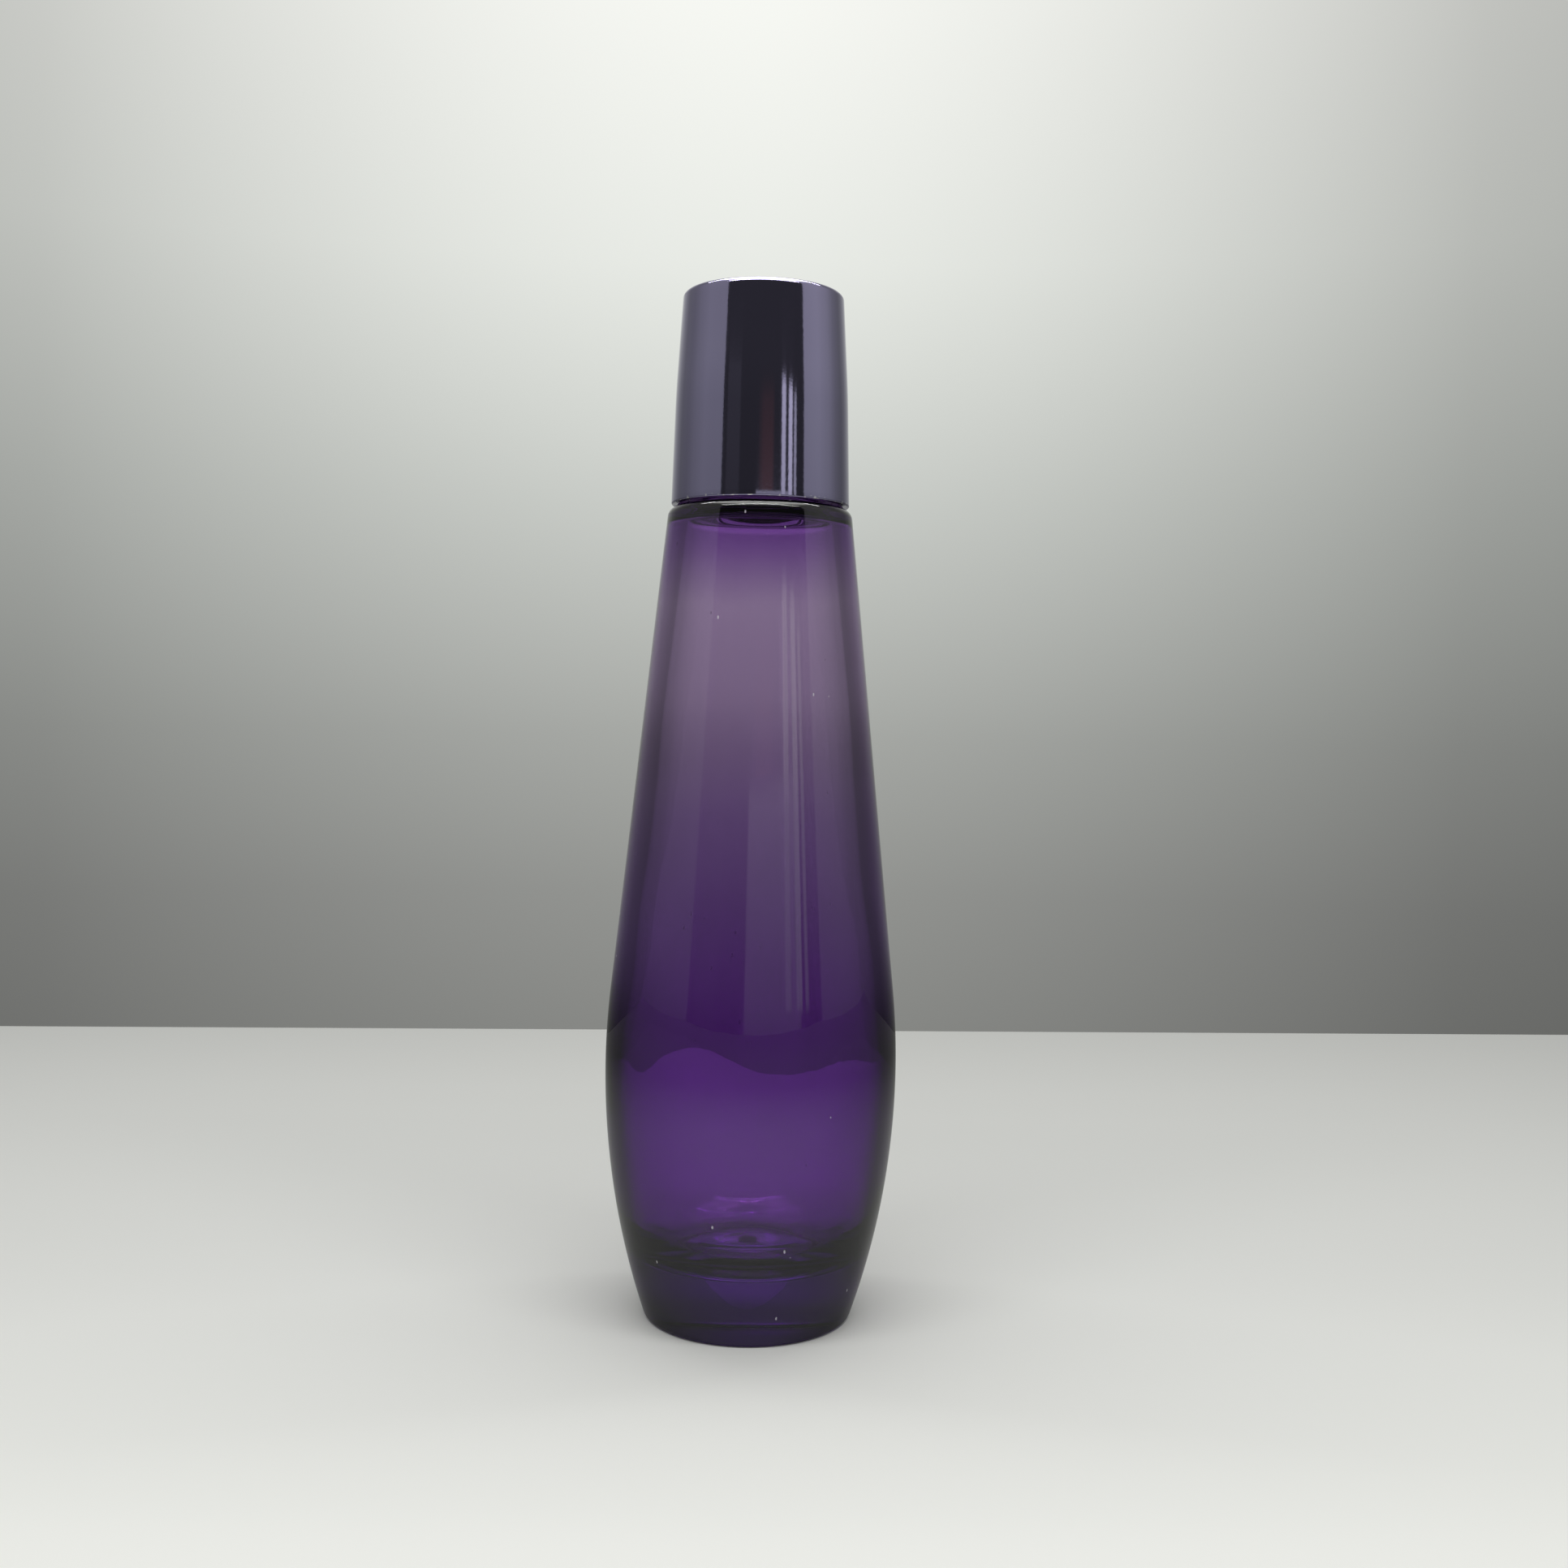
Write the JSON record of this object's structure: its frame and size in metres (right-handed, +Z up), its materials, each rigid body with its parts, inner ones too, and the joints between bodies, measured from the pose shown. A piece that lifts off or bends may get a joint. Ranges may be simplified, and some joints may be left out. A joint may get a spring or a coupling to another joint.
{
  "type": "aftershave bottle",
  "caption": "Tapered purple glass splash bottle with a rounded belly, a thick base, a pour insert in the neck and a tall metallised screw cap.",
  "frame": {"origin": "centre of the circle that the base stands on", "axes": "+Z up along the bottle's axis, towards the cap. The bottle is round, so X and Y are any two level directions; the picture looks along +Y"},
  "size_m": [0.045, 0.045, 0.157],
  "materials": {
    "purple_glass": "polished, see-through violet",
    "soft_polyethylene": "waxy, milky",
    "foam_seal": "fine foam with a pressed skin",
    "white_polypropylene": "satin moulded",
    "metallised_violet": "vacuum-metallised mirror under a violet lacquer"
  },
  "bodies": {
    "bottle": {"glass_bottle": "purple_glass", "pour_insert": "soft_polyethylene"},
    "seal": {"seal_disc": "foam_seal"},
    "carrier": {"cap_sleeve": "white_polypropylene"},
    "cap": {"cap_shell": "metallised_violet", "inner_cap": "white_polypropylene"}
  },
  "joints": [
    {"name": "cap_lift", "type": "slide", "parent": "bottle", "child": "seal", "axis": [0, 0, 1], "range_m": [0, 0.03]},
    {"name": "cap_rise", "type": "slide", "parent": "seal", "child": "carrier", "axis": [0, 0, 1], "range_m": [0, 0.00478]},
    {"name": "cap_turn", "type": "hinge", "parent": "carrier", "child": "cap", "pos_m": [0, 0, 0.125], "axis": [0, 0, 1], "range_deg": [0, 540]}
  ],
  "couplings": [
    {"joint": "cap_rise", "follows": "cap_turn", "m_per_rad": 0.00050532}
  ]
}
